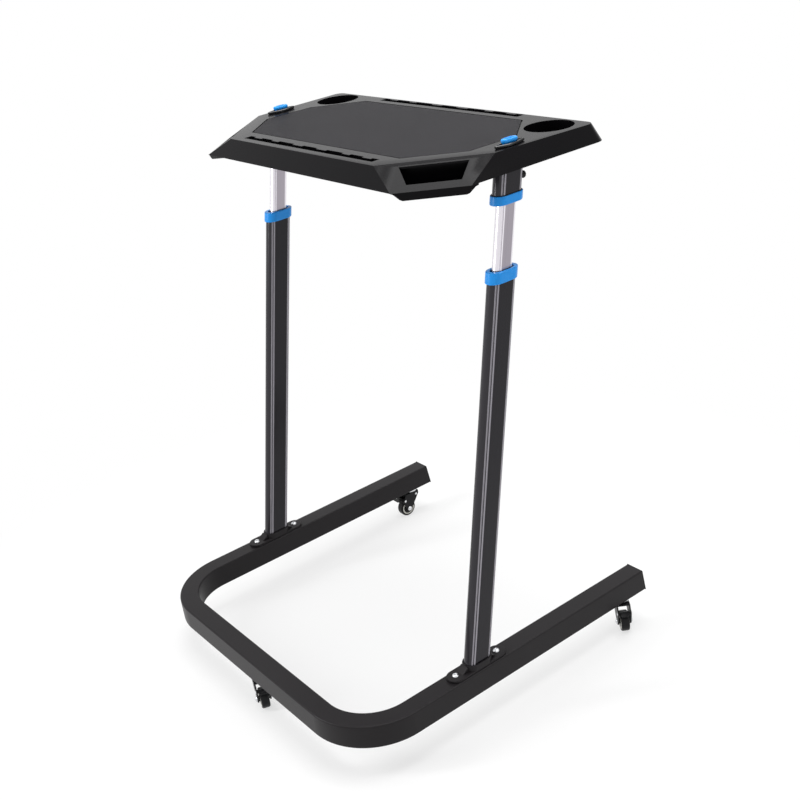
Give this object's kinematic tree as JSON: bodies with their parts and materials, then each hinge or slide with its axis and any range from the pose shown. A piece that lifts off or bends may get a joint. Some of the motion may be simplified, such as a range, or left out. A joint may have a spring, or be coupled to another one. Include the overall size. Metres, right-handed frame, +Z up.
{
  "type": "bike trainer desk",
  "caption": "Rolling desk for riding on an indoor trainer: a U-shaped base on braked casters, two leaning telescopic posts and a tray table with grips, cup wells and device slots.",
  "frame": {"origin": "on the floor, under the middle of the base frame", "axes": "+X across the desk to the right-hand post of someone who stands at the closed end and faces the open one, +Y from the base's closed end to its open ends, +Z up"},
  "size_m": [0.8121, 0.7642, 1.0935],
  "materials": {
    "powder_coat": "satin black powder coat",
    "black_tube": "semi-gloss black coated aluminium",
    "aluminium_tube": "satin anodised",
    "blue_plastic": "satin blue moulding",
    "moulding": "fine-grained black moulding",
    "mat": "fine-textured grip surface",
    "black_plastic": "satin",
    "nylon": "natural nylon",
    "wheel_rubber": "smooth dark tread",
    "zinc": "bright zinc plate"
  },
  "bodies": {
    "base": {"base_frame": "powder_coat", "left_leg_end_cap": "black_plastic", "right_leg_end_cap": "black_plastic", "left_foot_bracket": "powder_coat", "right_foot_bracket": "powder_coat", "left_foot_bolt_front": "zinc", "left_foot_bolt_back": "zinc", "right_foot_bolt_front": "zinc", "right_foot_bolt_back": "zinc", "left_outer_tube": "black_tube", "right_outer_tube": "black_tube", "left_lower_collar": "blue_plastic", "right_lower_collar": "blue_plastic", "front_caster_stem": "zinc", "left_caster_stem": "zinc", "right_caster_stem": "zinc"},
    "desk": {"left_inner_tube": "aluminium_tube", "right_inner_tube": "aluminium_tube", "left_slide_guide": "nylon", "right_slide_guide": "nylon", "left_return_spring": "zinc", "right_return_spring": "zinc", "left_upper_sleeve": "black_tube", "right_upper_sleeve": "black_tube", "left_upper_collar": "blue_plastic", "right_upper_collar": "blue_plastic", "left_table_bracket": "black_plastic", "right_table_bracket": "black_plastic", "left_bracket_screw_1": "zinc", "left_bracket_screw_2": "zinc", "right_bracket_screw_1": "zinc", "right_bracket_screw_2": "zinc", "left_latch_bezel": "black_plastic", "right_latch_bezel": "black_plastic", "tabletop": "moulding", "desk_mat": "mat"},
    "left_release": {"left_latch_tab": "blue_plastic", "left_release_rod": "zinc"},
    "right_release": {"right_latch_tab": "blue_plastic", "right_release_rod": "zinc"},
    "left_lock": {"left_lock_shoe": "nylon"},
    "right_lock": {"right_lock_shoe": "nylon"},
    "left_clamp": {"left_clamp_knob": "black_plastic"},
    "right_clamp": {"right_clamp_knob": "black_plastic"},
    "front_swivel": {"front_caster_fork": "black_plastic", "front_caster_axle": "zinc"},
    "left_swivel": {"left_caster_fork": "black_plastic", "left_caster_axle": "zinc"},
    "right_swivel": {"right_caster_fork": "black_plastic", "right_caster_axle": "zinc"},
    "front_wheel": {"front_caster_wheel": "wheel_rubber"},
    "left_wheel": {"left_caster_wheel": "wheel_rubber"},
    "right_wheel": {"right_caster_wheel": "wheel_rubber"},
    "front_brake": {"front_brake_pedal": "black_plastic"},
    "left_brake": {"left_brake_pedal": "black_plastic"},
    "right_brake": {"right_brake_pedal": "black_plastic"}
  },
  "joints": [
    {"name": "desk_height", "type": "slide", "parent": "base", "child": "desk", "axis": [0, 0.2079, 0.9781], "range_m": [-0.1, 0.15]},
    {"name": "left_release_pull", "type": "slide", "parent": "desk", "child": "left_release", "axis": [0, 0.2079, 0.9781], "range_m": [0, 0.01], "stiffness_N_per_m": 500, "springref_m": -0.006, "deforming": ["left_return_spring"]},
    {"name": "right_release_pull", "type": "slide", "parent": "desk", "child": "right_release", "axis": [0, 0.2079, 0.9781], "range_m": [0, 0.01], "stiffness_N_per_m": 500, "springref_m": -0.006, "deforming": ["right_return_spring"]},
    {"name": "left_shoe_slide", "type": "slide", "parent": "desk", "child": "left_lock", "axis": [0, 0.9781, -0.2079], "range_m": [-0.0015, 0]},
    {"name": "right_shoe_slide", "type": "slide", "parent": "desk", "child": "right_lock", "axis": [0, 0.9781, -0.2079], "range_m": [-0.0015, 0]},
    {"name": "left_clamp_turn", "type": "hinge", "parent": "desk", "child": "left_clamp", "pos_m": [-0.364, 0.14666, 1.02673], "axis": [0, 0.9781, -0.2079], "continuous": true},
    {"name": "right_clamp_turn", "type": "hinge", "parent": "desk", "child": "right_clamp", "pos_m": [0.364, 0.14666, 1.02673], "axis": [0, 0.9781, -0.2079], "continuous": true},
    {"name": "front_caster_swivel", "type": "hinge", "parent": "base", "child": "front_swivel", "pos_m": [0, -0.359, 0.06], "axis": [0, 0, 1], "continuous": true},
    {"name": "left_caster_swivel", "type": "hinge", "parent": "base", "child": "left_swivel", "pos_m": [-0.364, 0.325, 0.06], "axis": [0, 0, 1], "continuous": true},
    {"name": "right_caster_swivel", "type": "hinge", "parent": "base", "child": "right_swivel", "pos_m": [0.364, 0.325, 0.06], "axis": [0, 0, 1], "continuous": true},
    {"name": "front_wheel_spin", "type": "hinge", "parent": "front_swivel", "child": "front_wheel", "pos_m": [0.01691, -0.36516, 0.022], "axis": [0.342, 0.9397, 0], "continuous": true},
    {"name": "left_wheel_spin", "type": "hinge", "parent": "left_swivel", "child": "left_wheel", "pos_m": [-0.364, 0.307, 0.022], "axis": [1, 0, 0], "continuous": true},
    {"name": "right_wheel_spin", "type": "hinge", "parent": "right_swivel", "child": "right_wheel", "pos_m": [0.37874, 0.31468, 0.022], "axis": [0.5736, 0.8192, 0], "continuous": true},
    {"name": "front_brake_press", "type": "hinge", "parent": "front_swivel", "child": "front_brake", "pos_m": [0.02631, -0.36858, 0.0466], "axis": [0.342, 0.9397, 0], "range_deg": [0, 20]},
    {"name": "left_brake_press", "type": "hinge", "parent": "left_swivel", "child": "left_brake", "pos_m": [-0.364, 0.297, 0.0466], "axis": [1, 0, 0], "range_deg": [0, 20]},
    {"name": "right_brake_press", "type": "hinge", "parent": "right_swivel", "child": "right_brake", "pos_m": [0.38694, 0.30894, 0.0466], "axis": [0.5736, 0.8192, 0], "range_deg": [0, 20]}
  ],
  "couplings": [
    {"joint": "left_shoe_slide", "follows": "left_release_pull", "ratio": -0.15},
    {"joint": "right_shoe_slide", "follows": "right_release_pull", "ratio": -0.15}
  ]
}
